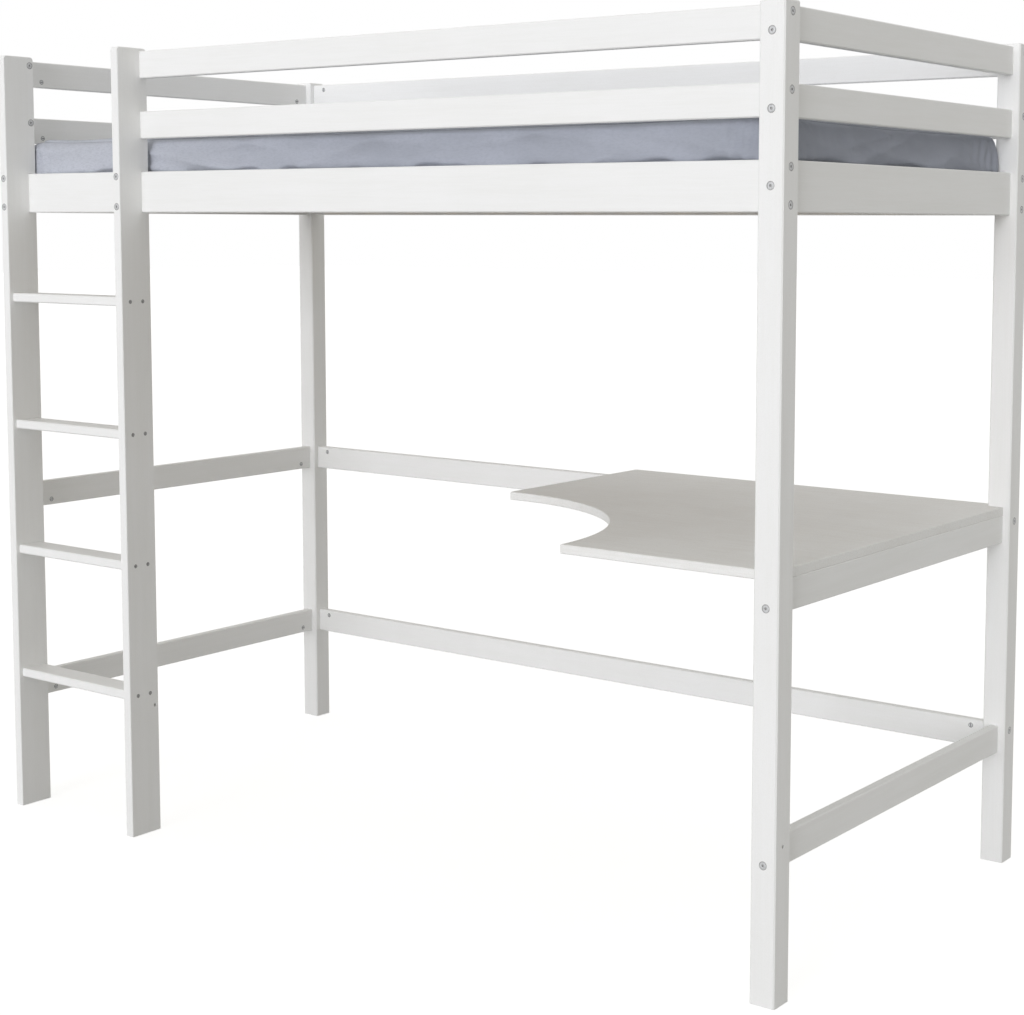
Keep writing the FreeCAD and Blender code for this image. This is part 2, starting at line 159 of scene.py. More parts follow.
def white_lacquer(name, along):
    """White satin lacquer on planed pine. The grain runs along that axis and shows faintly through."""
    full_coat, thin_coat, speck = shade(242, 242, 241), shade(238, 238, 236), shade(233, 232, 230)
    coat = Finish(bpy.data.materials.new(name))
    drawn = [1.0, 1.0, 1.0]
    drawn[along] = 0.045
    fibre = coat.noise(coat.spot(drawn), pitch=0.0035, detail=4.0, roughness=0.6)
    ring = coat.noise(coat.spot(drawn), pitch=0.017, detail=2.0, roughness=0.45)
    mist = coat.noise(coat.spot(), pitch=0.0016, detail=2.0, roughness=0.6)
    cloud = coat.noise(coat.spot(), pitch=0.19, detail=2.0, roughness=0.5)
    thin = coat.band(fibre * 0.55 + ring * 0.45, low=0.38, high=0.66)
    uneven = thin * 0.6 + coat.band(cloud, low=0.3, high=0.7) * 0.4
    tone = coat.mix(uneven, full_coat, thin_coat)
    relief = fibre * 0.5 + ring * 0.3 + mist * 0.35
    return coat.close({
        "Base Color": coat.mix(coat.band(mist, low=0.45, high=0.75) * 0.45, tone, speck),
        "Roughness": 0.4 + mist * 0.16 + thin * 0.06,
        "Normal": coat.bump(relief, depth=0.0004, strength=0.35),
        "Specular IOR Level": 0.35,
    })


def dress(material, *names):
    """Gives CAD nodes, which keep their shape, one material."""
    for name in names:
        nodes[name].data.materials.clear()
        nodes[name].data.materials.append(material)


lacquer_upright = white_lacquer("lacquer_upright", along=2)
dress(lacquer_upright, "front_left_post", "front_right_post", "back_left_post", "back_right_post")


# Rails
# Planed pine boards set on edge between the posts: deep ones carry the bed, shallow ones guard and brace.
# They butt on posts or the ladder, and nearly every end is drawn up by a bolt into a barrel nut in the board.
lacquer_long = white_lacquer("lacquer_long", along=0)
lacquer_cross = white_lacquer("lacquer_cross", along=1)
for level in ("top_guard", "lower_guard"):
    dress(lacquer_long, "front_" + level, "back_" + level)
    dress(lacquer_cross, "left_" + level, "right_" + level)
dress(lacquer_long, "front_side_rail", "back_side_rail", "back_desk_rail", "back_low_rail")
dress(lacquer_cross, "left_end_rail", "right_end_rail", "left_desk_rail", "right_desk_rail")
dress(lacquer_cross, "left_low_rail", "right_low_rail")


# Ladder
# Two pine planks stand with their thin edges to the front, notched round the side rail, and lacquered white.
# Four flat treads lie between them. Every tread is held by two sunk screws through each plank.
dress(lacquer_upright, "ladder_left_upright", "ladder_right_upright")
dress(lacquer_long, *["ladder_tread_%d" % step for step in (1, 2, 3, 4)])


# Desk top
# A fibreboard plate with a round bay sawn out for the chair, lacquered white all round.
# It lies on the desk rails and is screwed up from below.
def board_lacquer():
    """White lacquer rolled on fibreboard: no grain, a fine even stipple and faint strokes along the plate."""
    full_coat, thin_coat, speck = shade(240, 240, 238), shade(234, 233, 230), shade(225, 224, 221)
    coat = Finish(bpy.data.materials.new("board_lacquer"))
    stipple = coat.noise(coat.spot(), pitch=0.0022, detail=3.0, roughness=0.6)
    stroke = coat.noise(coat.spot((0.05, 1.0, 1.0)), pitch=0.004, detail=3.0, roughness=0.55)
    cloud = coat.noise(coat.spot(), pitch=0.14, detail=2.0, roughness=0.5)
    uneven = coat.band(stroke * 0.6 + cloud * 0.4, low=0.38, high=0.64)
    tone = coat.mix(uneven, full_coat, thin_coat)
    return coat.close({
        "Base Color": coat.mix(coat.band(stipple, low=0.45, high=0.72) * 0.6, tone, speck),
        "Roughness": 0.44 + stipple * 0.16,
        "Normal": coat.bump(stipple * 0.6 + stroke * 0.4, depth=0.0004, strength=0.4),
        "Specular IOR Level": 0.35,
    })


dress(board_lacquer(), "desk_top")


# Cleats, slats and straps
# Painted pine cleats run along the side rails' inner faces, and bare planed pine slats lie across them.
# Two woven straps run below and keep the slats at their spacing.
def bare_pine():
    """Unpainted pine: growth rings drawn out along the slat, darker late wood, fine fibres."""
    pale, golden = shade(228, 208, 173), shade(219, 194, 154)
    late_wood, pore = shade(194, 158, 112), shade(180, 144, 102)
    ring_turns, ring_waver = 95.0, 1.6
    wood = Finish(bpy.data.materials.new("bare_pine"))
    drawn = (1.0, 0.05, 1.0)
    heart = wood.noise(wood.spot(drawn), pitch=0.05, detail=2.0, roughness=0.5)
    fibre = wood.noise(wood.spot(drawn), pitch=0.0016, detail=3.0, roughness=0.6)
    cloud = wood.noise(wood.spot(), pitch=0.12, detail=2.0, roughness=0.5)
    ring = (heart * ring_turns + fibre * ring_waver).sine() * 0.5 + 0.5
    late = wood.band(ring, low=0.35, high=0.98)
    early = wood.mix(wood.band(cloud, low=0.3, high=0.7), pale, golden)
    tone = wood.mix(late * 0.55, early, late_wood)
    return wood.close({
        "Base Color": wood.mix(wood.band(fibre, low=0.35, high=0.7) * 0.3, tone, pore),
        "Roughness": 0.58 + fibre * 0.2 - late * 0.08,
        "Normal": wood.bump(fibre * 0.7 + late * 0.3, depth=0.0004, strength=0.5),
        "Specular IOR Level": 0.35,
    })


def webbing():
    """Woven strap: ribs across the width every 2 mm, crossed by finer threads along it."""
    hollow_painted_shade, crown_painted_light = shade(176, 172, 162), shade(214, 210, 200)
    rib_pitch, thread_pitch = 0.002, 0.0016
    weave = Finish(bpy.data.materials.new("strap_webbing"))
    along, across = weave.axes()[:2]
    rib = along.wave(rib_pitch) * 0.5 + 0.5
    thread = across.wave(thread_pitch) * 0.5 + 0.5
    fuzz = weave.noise(weave.spot(), pitch=0.0012, detail=2.0, roughness=0.6)
    return weave.close({
        # The colour is darker in the weave's hollows and lighter on its crowns: painted shade and painted
        # light.
        "Base Color": weave.mix(rib * 0.5 + thread * 0.3 + fuzz * 0.2, hollow_painted_shade, crown_painted_light),
        "Roughness": 0.8 + fuzz * 0.15,
        "Normal": weave.bump(rib * 0.6 + thread * 0.4, depth=0.0004, strength=0.6),
    })


dress(lacquer_long, "front_slat_cleat", "back_slat_cleat")
dress(bare_pine(), *["slat_%02d" % count for count in range(1, 15)])
dress(webbing(), "front_slat_strap", "back_slat_strap")


# Bolts
# Zinc-plated furniture bolts with a flat head and a hexagon socket, sunk to the head in posts and planks.
# A gap goes round every head, in the mouth of its counterbore. Socket, gap and lip are in painted shade.
def zinc(name, bright, dull, metal, rough):
    """Plated steel: two greys clouded over each other, with the roughness of a drawn and tumbled part."""
    plate = Finish(bpy.data.materials.new(name))
    cloud = plate.noise(plate.spot(), pitch=0.003, detail=3.0, roughness=0.6)
    scratch = plate.noise(plate.spot((1.0, 1.0, 0.2)), pitch=0.0007, detail=2.0, roughness=0.6)
    return plate.close({
        "Base Color": plate.mix(plate.band(cloud, low=0.3, high=0.7), shade(*bright), shade(*dull)),
        "Metallic": metal + cloud * 0.15,
        "Roughness": rough + scratch * 0.2,
        "Normal": plate.bump(scratch, depth=0.00008, strength=0.4),
    })


zinc_bright = zinc("zinc_bright", bright=(208, 209, 210), dull=(186, 187, 188), metal=0.15, rough=0.3)
# The darker zinc is painted shade: bolts' sockets, the gaps and lips round their heads, sunk screws' heads.
zinc_painted_shade = zinc("zinc_painted_shade", bright=(182, 181, 180), dull=(156, 155, 154), metal=0.1, rough=0.45)

# Outlines by the angle round a fastener's axis: a circle, a hexagon that has its flats at the radius, and a
# screwdriver slot that ends at the radius.
turn = np.radians(np.arange(0, 360, 10))
sixth = np.pi / 3
slot_width, tiny = 0.17, 1e-6
circle = np.ones(len(turn))
hexagon = 1 / np.cos((turn + sixth / 2) % sixth - sixth / 2)
slot_end = 1 / np.maximum(np.abs(np.cos(turn)), tiny)
slot_side = slot_width / np.maximum(np.abs(np.sin(turn)), tiny)
slot = np.minimum(slot_end, slot_side)


def placed(name, data):
    """A new object of the scene that holds a mesh, a lamp or a lens."""
    thing = bpy.data.objects.new(name, data)
    bpy.context.scene.collection.objects.link(thing)
    return thing


def turned(name, profile, groups, painted_shade_finish, ring=False):
    """A profile carried round an axis, and copied to many places, as one mesh.

    Each row of the profile is a radius and a height in millimetres, an outline that multiplies the radius at
    every angle, and 1 where the band that ends there takes the second, darker finish, which is painted shade.
    A group is the axis that points out of the wood, and the places, in metres, where the height is 0. The
    profile starts and ends on the axis, or it is a ring, which closes on itself.
    """
    radius, height, outline, dark = (np.array(column) for column in zip(*profile))
    rows, steps = outline.shape
    reach = radius[:, None] / 1000 * outline
    shells = []
    for axis, places in groups:
        axis = np.array(axis, float)
        side = np.roll(axis, 1)
        other = np.cross(axis, side)
        flat = reach[..., None] * (np.cos(turn)[:, None] * side + np.sin(turn)[:, None] * other)
        single = flat + height[:, None, None] / 1000 * axis
        shells.append((np.array(places)[:, None, None, :] + single[None]).reshape(-1, 3))
    points = np.concatenate(shells)
    bands = rows if ring else rows - 1
    first, around = np.meshgrid(np.arange(bands), np.arange(steps), indexing="ij")
    second, onward = (first + 1) % rows, (around + 1) % steps
    near, far = first * steps, second * steps
    quad = np.stack([near + around, near + onward, far + onward, far + around], -1).reshape(-1, 4)
    copies = len(points) // (rows * steps)
    faces = (quad[None] + np.arange(copies)[:, None, None] * rows * steps).reshape(-1, 4)
    mesh = bpy.data.meshes.new(name)
    mesh.from_pydata(points.tolist(), [], faces.tolist())
    mesh.polygons.foreach_set("material_index", np.tile(dark[second.ravel()], copies).astype(np.int32))
    shape = bmesh.new()
    shape.from_mesh(mesh)
    bmesh.ops.remove_doubles(shape, verts=shape.verts, dist=1e-6)
    bmesh.ops.dissolve_degenerate(shape, edges=shape.edges, dist=1e-7)
    bmesh.ops.recalc_face_normals(shape, faces=shape.faces)
    shape.to_mesh(mesh)
    shape.free()
    mesh.shade_smooth()
    mesh.set_sharp_from_angle(angle=np.radians(32))
    mesh.materials.append(zinc_bright)
    mesh.materials.append(painted_shade_finish)
    piece = placed(name, mesh)
    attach(piece, "bed_frame")
    return piece


def bolt_profile(length):
    """Socket floor and wall, slightly domed face, rubbed rim, gap and lip, head, shank and tip."""
    return [
        # The socket's floor and wall, the gap and its lip take the darker finish: painted shade.
        (0.0, -2.0, circle, 1),
        (2.2, -2.0, hexagon, 1),
        (2.3, -0.1, hexagon, 1),
        (2.5, 0.12, hexagon, 0),
        (4.4, 0.34, circle, 0),
        (5.7, 0.22, circle, 0),
        (6.2, -0.1, circle, 0),
        (6.45, -0.7, circle, 1),
        (7.05, -0.7, circle, 1),
        (7.1, 0.06, circle, 1),
        (7.4, 0.14, circle, 1),
        (7.75, 0.1, circle, 1),
        (7.85, -0.02, circle, 1),
        (7.05, -0.05, circle, 1),
        (7.0, -3.0, circle, 0),
        (3.0, -3.0, circle, 0),
        (3.0, 0.8 - length, circle, 0),
        (2.3, -length, circle, 0),
        (0.0, -length, circle, 0),
    ]


post_low, post_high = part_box("front_right_post")
back_low, back_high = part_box("back_right_post")
right_face, right_middle = post_high.x, (post_low.x + post_high.x) / 2
front_face, front_middle = post_low.y, (post_low.y + post_high.y) / 2
back_face, back_middle = back_high.y, (back_low.y + back_high.y) / 2

# How far the holes' middles lie from the edges of shallow rails and treads, and of deep rails.
edge, deep_edge = 0.013, 0.012


def shallow(rail, from_top):
    """The bolt level of a shallow rail: one edge distance below its top, or else above its bottom."""
    low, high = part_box(rail)
    return high.z - edge if from_top else low.z + edge


def deep(rail):
    """The two bolt levels of a deep rail's ends on the long sides."""
    low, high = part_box(rail)
    return [high.z - deep_edge, low.z + deep_edge]


guard_levels = [shallow("front_top_guard", True), shallow("front_lower_guard", True)]
rail_levels = deep("front_side_rail")
brace_levels = [shallow("back_desk_rail", True), shallow("back_low_rail", True)]
end_low, end_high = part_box("right_end_rail")
end_levels = [
    shallow("right_top_guard", False),
    shallow("right_lower_guard", False),
    (end_low.z + end_high.z) / 2,
    shallow("right_desk_rail", False),
    shallow("right_low_rail", False),
]
back_levels = guard_levels + rail_levels + brace_levels
right_bolts = [(right_face, front_middle, z) for z in guard_levels + rail_levels]
right_bolts += [(right_face, back_middle, z) for z in back_levels]
post_groups = [
    ((1, 0, 0), right_bolts),
    ((-1, 0, 0), [(-right_face, back_middle, z) for z in back_levels]),
    ((0, -1, 0), [(x, front_face, z) for x in (-right_middle, right_middle) for z in end_levels]),
    ((0, 1, 0), [(x, back_face, z) for x in (-right_middle, right_middle) for z in end_levels]),
]
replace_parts(turned("bolts_in_posts", bolt_profile(length=79.7), post_groups, zinc_painted_shade), "post_bolts")

plank_low, plank_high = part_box("ladder_right_upright")
left_low, left_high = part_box("ladder_left_upright")
plank_middles = [(left_low.x + left_high.x) / 2, (plank_low.x + plank_high.x) / 2]
guard_groups = [((-1, 0, 0), [(plank_low.x, front_middle, z) for z in guard_levels])]
rail_groups = [((0, -1, 0), [(x, plank_low.y, z) for x in plank_middles for z in rail_levels])]
plank_groups = [((1, 0, 0), [(left_high.x, front_middle, z) for z in guard_levels])]
guard_bolts = turned("bolts_in_guards", bolt_profile(length=51.7), guard_groups, zinc_painted_shade)
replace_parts(guard_bolts, "guard_bolts")
ladder_rail_bolts = turned("bolts_in_ladder_rail", bolt_profile(length=78.0), rail_groups, zinc_painted_shade)
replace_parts(ladder_rail_bolts, "ladder_rail_bolts")
ladder_post_bolts = turned("bolts_in_ladder_post", bolt_profile(length=70.0), plank_groups, zinc_painted_shade)
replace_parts(ladder_post_bolts, "ladder_post_bolts")


# Nuts and screws
# Steel barrel nuts with a slotted face sit in the rails' inner faces, flanged nuts take the ladder's bolts.
# The treads' screws are sunk below the planks' faces in round holes, their heads in painted shade.
# The dark zinc is painted shade in the nuts' slots, bores, gaps and lips; the desk's screws are dressed in it
# all over.
zinc_dark = zinc("zinc_dark", bright=(96, 95, 94), dull=(70, 69, 68), metal=0.6, rough=0.42)

nut_profile = [
    (0.0, -1.0, circle, 1),
    (4.1, -1.0, slot, 1),
    (4.1, -0.05, slot, 1),
    (4.45, 0.06, circle, 0),
    (4.8, -0.12, circle, 1),
    (4.95, 0.05, circle, 1),
    (5.25, 0.1, circle, 1),
    (5.4, -0.02, circle, 1),
    (4.7, -0.05, circle, 1),
    (4.6, -14.9, circle, 0),
    (0.0, -14.9, circle, 0),
]
setback = 0.035
front_rail_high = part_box("front_side_rail")[1]
back_rail_low, back_rail_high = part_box("back_side_rail")
guard_low, guard_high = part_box("front_top_guard")
front_nuts = [(front_rail_high.x - setback, front_rail_high.y, z) for z in rail_levels + guard_levels]
front_nuts += [(guard_low.x + setback, guard_high.y, z) for z in guard_levels]
back_ends = (back_rail_low.x + setback, back_rail_high.x - setback)
back_nuts = [(x, back_rail_low.y, z) for x in back_ends for z in back_levels]
cross_ends = (end_low.y + setback, end_high.y - setback)
left_nuts = [(-end_low.x, y, z) for y in cross_ends for z in end_levels]
right_nuts = [(end_low.x, y, z) for y in cross_ends for z in end_levels]
nut_groups = [
    ((0, 1, 0), front_nuts),
    ((0, -1, 0), back_nuts),
    ((1, 0, 0), left_nuts),
    ((-1, 0, 0), right_nuts),
]
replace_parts(turned("barrel_nuts_fine", nut_profile, nut_groups, zinc_dark), "barrel_nuts")

flange_profile = [
    (3.15, -14.9, circle, 1),
    (3.15, -0.4, circle, 1),
    (3.6, 0.02, circle, 1),
    (6.2, 0.1, circle, 0),
    (6.8, -0.05, circle, 0),
    (7.1, 0.05, circle, 1),
    (7.5, 0.09, circle, 1),
    (7.7, -0.02, circle, 1),
    (6.9, -0.05, circle, 1),
    (6.9, -2.0, circle, 0),
    (4.2, -2.0, circle, 0),
    (4.2, -14.9, circle, 0),
]
flange_groups = [
    ((0, 1, 0), [(x, front_rail_high.y, z) for x in plank_middles for z in rail_levels]),
    ((-1, 0, 0), [(-right_face, front_middle, z) for z in guard_levels]),
]
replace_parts(turned("flanged_nuts", flange_profile, flange_groups, zinc_dark, ring=True), "tee_nuts")

screw_profile = [
    (0.0, -3.2, circle, 1),
    (1.5, -3.2, hexagon, 1),
    (1.6, -1.7, hexagon, 1),
    (3.0, -1.45, circle, 1),
    (3.6, -1.6, circle, 1),
    (3.75, -0.4, circle, 1),
    (3.95, 0.08, circle, 1),
    (4.3, 0.12, circle, 1),
    (4.5, -0.02, circle, 1),
    (3.9, -0.05, circle, 1),
    (3.8, -1.9, circle, 1),
    (2.4, -4.4, circle, 1),
    (2.4, -43.0, circle, 0),
    (0.0, -46.0, circle, 0),
]
tread_low, tread_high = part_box("ladder_tread_1")
tread_lows = [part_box("ladder_tread_%d" % step)[0].z for step in (1, 2, 3, 4)]
screw_ys = [tread_low.y + edge, tread_high.y - edge]
screw_zs = [low + (tread_high.z - tread_low.z) / 2 for low in tread_lows]
screw_groups = [
    ((1, 0, 0), [(plank_high.x, y, z) for y in screw_ys for z in screw_zs]),
    ((-1, 0, 0), [(left_low.x, y, z) for y in screw_ys for z in screw_zs]),
]
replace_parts(turned("sunk_tread_screws", screw_profile, screw_groups, zinc_painted_shade), "tread_screws")
dress(zinc_dark, "desk_screws")


# Mattress
# A foam slab 124 mm thick in a loose cotton cover of blue-grey plain weave, sewn round its edges.
# It lies free on the slats, between the bed rails, and lifts out.
def cotton():
    """Plain weave of threads 1.5 mm apart, heathered from two blue-greys, with slow shifts of tone.

    From the middle to the ladder's end the cover is painted a little lighter as painted light, and at the
    other end a little darker as painted shade. The weave's raised threads are painted lighter, as painted
    light. The seam is drawn from the cover's seam_gap, the distance from the sewn line in metres: a groove
    painted dark as painted shade, and a row of stitches every 6 mm on both sides of it. The run along the
    seam is x - y or x + y, by the quarter.
    """
    pale_blue, deep_blue, painted_light_blue = shade(171, 175, 186), shade(160, 164, 174), shade(224, 226, 232)
    painted_shade_blue, fleck, thread_top_painted_light = shade(120, 124, 135), shade(142, 146, 157), shade(184, 187, 197)
    seam_painted_shade, seam_thread = shade(104, 107, 118), shade(196, 199, 207)
    thread_pitch, stitch_pitch, stitch_row = 0.0015, 0.006, 0.004
    cloth = Finish(bpy.data.materials.new("cotton_cover"))
    x, y, z = cloth.axes()
    warp, weft, rise = x.wave(thread_pitch), y.wave(thread_pitch), z.wave(thread_pitch)
    weave = (warp * weft + weft * rise + rise * warp) * 0.17 + 0.5
    heather = cloth.noise(cloth.spot((0.35, 1.0, 1.0)), pitch=0.003, detail=3.0, roughness=0.65)
    cloud = cloth.noise(cloth.spot((0.6, 1.0, 1.6)), pitch=0.09, detail=3.0, roughness=0.5)
    tone = cloth.mix(cloth.band(cloud, low=0.3, high=0.7), pale_blue, deep_blue)
    # Painted light makes the cover lighter towards the ladder's end, and painted shade darker over the far
    # end.
    ladder_end_painted_light = cloth.mix(cloth.band(0 - x, low=-0.2, high=0.9) * 0.38, tone, painted_light_blue)
    far_end_painted_shade = cloth.mix(cloth.band(x, low=0.88, high=1.0) * 0.32, ladder_end_painted_light, painted_shade_blue)
    mottled = cloth.mix(cloth.band(heather, low=0.4, high=0.7) * 0.3, far_end_painted_shade, fleck)
    # The raised threads of the weave are painted lighter: painted light.
    woven = cloth.mix(weave * 0.3, mottled, thread_top_painted_light)
    gap = cloth.node("ShaderNodeAttribute", {"attribute_name": "seam_gap"}, out="Fac").size()
    run = x - (x * y).sign() * y
    # The seam's groove is painted dark as well as bumped in: painted shade.
    groove = 1 - cloth.band(gap, low=0.0005, high=0.002)
    row = 1 - cloth.band((gap - stitch_row).size(), low=0.0004, high=0.0011)
    stitch = row * cloth.band(run.wave(stitch_pitch), low=-0.4, high=0.1)
    sewn = cloth.mix(groove * 0.6, woven, seam_painted_shade)
    relief = weave * 0.6 + heather * 0.4 + stitch * 0.8 - groove * 1.5
    return cloth.close({
        "Base Color": cloth.mix(stitch * 0.6, sewn, seam_thread),
        "Roughness": 0.82 + heather * 0.14,
        "Normal": cloth.bump(relief, depth=0.0006, strength=0.5),
        "Sheen Weight": 0.03,
        "Sheen Roughness": 0.5,
        "Specular IOR Level": 0.08,
    })


def points_of(mesh):
    """The corner points of a mesh as an array of three columns."""
    flat = np.empty(len(mesh.vertices) * 3, np.float32)
    mesh.vertices.foreach_get("co", flat)
    return flat.reshape(-1, 3).astype(float)


def put_points(mesh, points):
    """Writes an array of three columns back as the corner points of a mesh."""
    mesh.vertices.foreach_set("co", points.astype(np.float32).ravel())
    mesh.update()


def worked_out(piece):
    """A piece as its modifiers leave it."""
    return piece.evaluated_get(bpy.context.evaluated_depsgraph_get())


def step_up(value, low, high):
    """A smooth step from 0 at low to 1 at high."""
    share = np.clip((value - low) / (high - low), 0, 1)
    return share * share * (3 - 2 * share)


def corner_part(flat, half, side):
    """How far points lie inside a rectangle's corners, which are squares of that side, and at what angle.

    The distances are counted along x and y from a square's inner edges, and are 0 short of an edge. The angle
    is the one seen from the square's inner point, and is 0 along x.
    """
    inner = np.maximum(np.abs(flat) - (half - side), 0)
    return inner, np.arctan2(inner[:, 1], np.maximum(inner[:, 0], 1e-9))


def corner_reach(angle, side, radius):
    """How far the rim of a square corner, rounded with that radius, lies from its inner point along an angle.

    The ray meets the straight edge or, past the arc's start, the arc, whose middle is one radius in from both
    edges.
    """
    more, less = np.maximum(np.cos(angle), np.sin(angle)), np.minimum(np.cos(angle), np.sin(angle))
    inset = side - radius
    along = inset * (more + less)
    arc = along + np.sqrt(np.maximum(along ** 2 - 2 * inset ** 2 + radius ** 2, 0))
    return np.where(side * less <= inset * more, side / more, arc)


def in_from_rim(flat, half, radius):
    """The distance inwards from the rim of a rectangle with rounded corners, and the way out to that rim."""
    past = np.abs(flat) - (half - radius)
    beyond = np.maximum(past, 0)
    length = np.hypot(beyond[:, 0], beyond[:, 1])
    gap = radius - length - np.minimum(past.max(axis=1), 0)
    return gap, np.sign(flat) * beyond / np.maximum(length, 1e-9)[:, None]


# The foam starts as the solid, smaller by some slack, because the cover swells, and on an even grid.
pad_low, pad_high = (np.array(corner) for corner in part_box("mattress"))
pad_middle, pad_half = (pad_low + pad_high) / 2, (pad_high - pad_low) / 2
slack, grid_step = 0.004, 0.016

start = nodes["mattress"].data.copy()
start.name = "mattress_foam"
shape = bmesh.new()
shape.from_mesh(start)
bmesh.ops.remove_doubles(shape, verts=shape.verts, dist=1e-5)
shape.to_mesh(start)
shape.free()
put_points(start, (points_of(start) - pad_middle) * (1 - slack / pad_half) + pad_middle)
cover = placed("mattress_cover", start)
grid = cover.modifiers.new("even_grid", "REMESH")
grid.mode = "VOXEL"
grid.voxel_size = grid_step
even = bpy.data.meshes.new_from_object(worked_out(cover))
cover.modifiers.clear()
cover.data = even

# The foam's corners are nearly square below and rounded like a ball above: over the last 72 mm of height the
# corner's radius in plan grows from 12 mm to 48 mm, along a quarter circle. By the ladder it grows far less.
solid_radius, low_radius, top_radius, ball = 0.032, 0.012, 0.048, 0.072
least_round, round_from, round_to = 0.15, -0.4, 0.4


def roundness(along):
    """How much of their rounding the corners have: the least at the ladder's end, all at the other."""
    return least_round + (1 - least_round) * step_up(along, round_from, round_to)


foam = points_of(even)
inner, angle = corner_part(foam[:, :2] - pad_middle[:2], pad_half[:2] - slack, top_radius)
share = np.clip((foam[:, 2] - (pad_high[2] - slack - ball)) / ball, 0, 1)
rounding = roundness(foam[:, 0] - pad_middle[0])
radius = low_radius + (top_radius - low_radius) * rounding * (1 - np.sqrt(1 - share ** 2))
pull = corner_reach(angle, top_radius, radius) / corner_reach(angle, top_radius, solid_radius)
pull = np.where(inner.min(axis=1) > 0, pull, 1)
foam[:, :2] -= np.sign(foam[:, :2] - pad_middle[:2]) * inner * (1 - pull)[:, None]
put_points(even, foam)

# The cover is blown up by pressure as loose cloth, and no point of it moves further than the cap.
swell_cap, last_count = 0.009, 20
filling = cover.modifiers.new("filling", "CLOTH")
filling.settings.quality = 6
filling.settings.mass = 0.2
filling.settings.tension_stiffness = 10
filling.settings.compression_stiffness = 10
filling.settings.shear_stiffness = 4
filling.settings.bending_stiffness = 0.6
filling.settings.use_pressure = True
filling.settings.uniform_pressure_force = 4
filling.settings.shrink_min = -0.03
filling.settings.effector_weights.gravity = 0
filling.point_cache.frame_start = 1
filling.point_cache.frame_end = last_count
for count in range(1, last_count + 1):
    bpy.context.scene.frame_set(count)
swollen = points_of(worked_out(cover).data) - foam
length = np.linalg.norm(swollen, axis=1)
swollen *= np.minimum(1, swell_cap / np.maximum(length, 1e-9))[:, None]
cover.modifiers.clear()
bpy.context.scene.frame_set(1)
put_points(even, foam + swollen)

# The cover is refined once all over, and once more along the sides and upper edges, where its folds are.
fold_zone, rim_radius, smooth_rounds = 0.036, 0.08, 2
finer = cover.modifiers.new("finer", "SUBSURF")
finer.levels = finer.render_levels = 1
sewn = bpy.data.meshes.new_from_object(worked_out(cover))
cover.modifiers.clear()
flat = points_of(sewn) - pad_middle
rim_gap = in_from_rim(flat[:, :2], pad_half[:2], rim_radius)[0]
folded = (rim_gap < fold_zone) & (flat[:, 2] > fold_zone - pad_half[2])
ends = np.empty(len(sewn.edges) * 2, np.int32)
sewn.edges.foreach_get("vertices", ends)
shape = bmesh.new()
shape.from_mesh(sewn)
shape.edges.ensure_lookup_table()
picked = [shape.edges[int(place)] for place in np.flatnonzero(folded[ends].reshape(-1, 2).all(axis=1))]
bmesh.ops.subdivide_edges(shape, edges=picked, cuts=1, use_grid_fill=True)
for count in range(smooth_rounds):
    bmesh.ops.smooth_vert(
        shape, verts=shape.verts, factor=0.5,
        use_axis_x=True, use_axis_y=True, use_axis_z=True,
    )
shape.to_mesh(sewn)
shape.free()
sewn.name = "mattress_cover"
cover.data = sewn

# It is then brought to size: cloth stands proud of the solid by these lengths, the upper edges are lifted,
# less so at the ladder's end, and the corners are lifted again and pushed out, most on their diagonal.
proud = np.array([0.0035, 0.006, 0.003])
edge_lift, edge_from, edge_to = 0.0095, 0.02, 0.3
ladder_share, ladder_from, ladder_to = 0.2, -0.95, -0.6
corner_lift, corner_width, corner_push = 0.009, 0.12, 0.15
pad = points_of(sewn)
lowest, highest = pad.min(axis=0), pad.max(axis=0)
full_low, full_high = pad_low - proud * (1, 1, 0), pad_high + proud
pad = (pad - lowest) / (highest - lowest) * (full_high - full_low) + full_low
full_half = pad_half[:2] + proud[:2]
flat = pad[:, :2] - pad_middle[:2]
rim_gap, rim_way = in_from_rim(flat, full_half, top_radius)
edge_share = ladder_share + (1 - ladder_share) * step_up(flat[:, 0], ladder_from, ladder_to)
lift = edge_lift * edge_share * (1 - step_up(rim_gap, edge_from, edge_to))
lift += corner_lift * np.exp(-(np.abs(full_half - np.abs(flat)).sum(axis=1) / corner_width) ** 2)
pad[:, 2] += lift * step_up(pad[:, 2], pad_middle[2], pad_high[2])
inner, angle = corner_part(flat, full_half, top_radius)
pad[:, :2] += np.sign(flat) * inner * (corner_push * np.sin(2 * angle) ** 2)[:, None]

# Cloth drags in shallow folds along the sides, slanting and upright ones by turns, that show in patches. A
# kind has ranges for its pitch along the sides and for its pitch in height, and a depth. Bends and patches
# are sines of about one turn to the metre, at a rate in radians, and each starts anywhere.
slanting = ((0.35, 0.9), (0.055, 0.1), 0.0058)
upright = ((0.09, 0.26), (0.15, 0.5), 0.0018)
fold_pairs, fold_mean, fold_bend = 6, 0.23, 1.3
bend_rate, patch_rate, any_start, any_crease = (3, 9), (4, 11), (0, 6), (0, 3)
wall_from, wall_to = 0.012, 0.035
side = pad - pad_middle
flat = side[:, :2]
x, y, z = side.T
wall = 1 - step_up(rim_gap, wall_from, wall_to)
dice = np.random.default_rng(7)
drag = np.zeros(len(pad))
for kind in (slanting, upright) * fold_pairs:
    along_range, rise_range, depth = kind
    along = dice.uniform(*along_range, 2)
    if kind is slanting:
        along = along * dice.choice((-1, 1))
    rise = dice.uniform(*rise_range)
    bend = np.sin(side @ dice.uniform(*bend_rate, 3) + dice.uniform(*any_start))
    wave = 2 * np.pi * (x / along[0] + y / along[1] + z / rise) + fold_bend * bend
    spread = np.sin(flat @ dice.uniform(*patch_rate, 2) + dice.uniform(*any_start))
    crease = (1 - np.abs(np.sin(wave / 2 + dice.uniform(*any_crease)))) ** 2
    drag += depth * step_up(spread, -0.3, 0.9) * (crease - fold_mean)

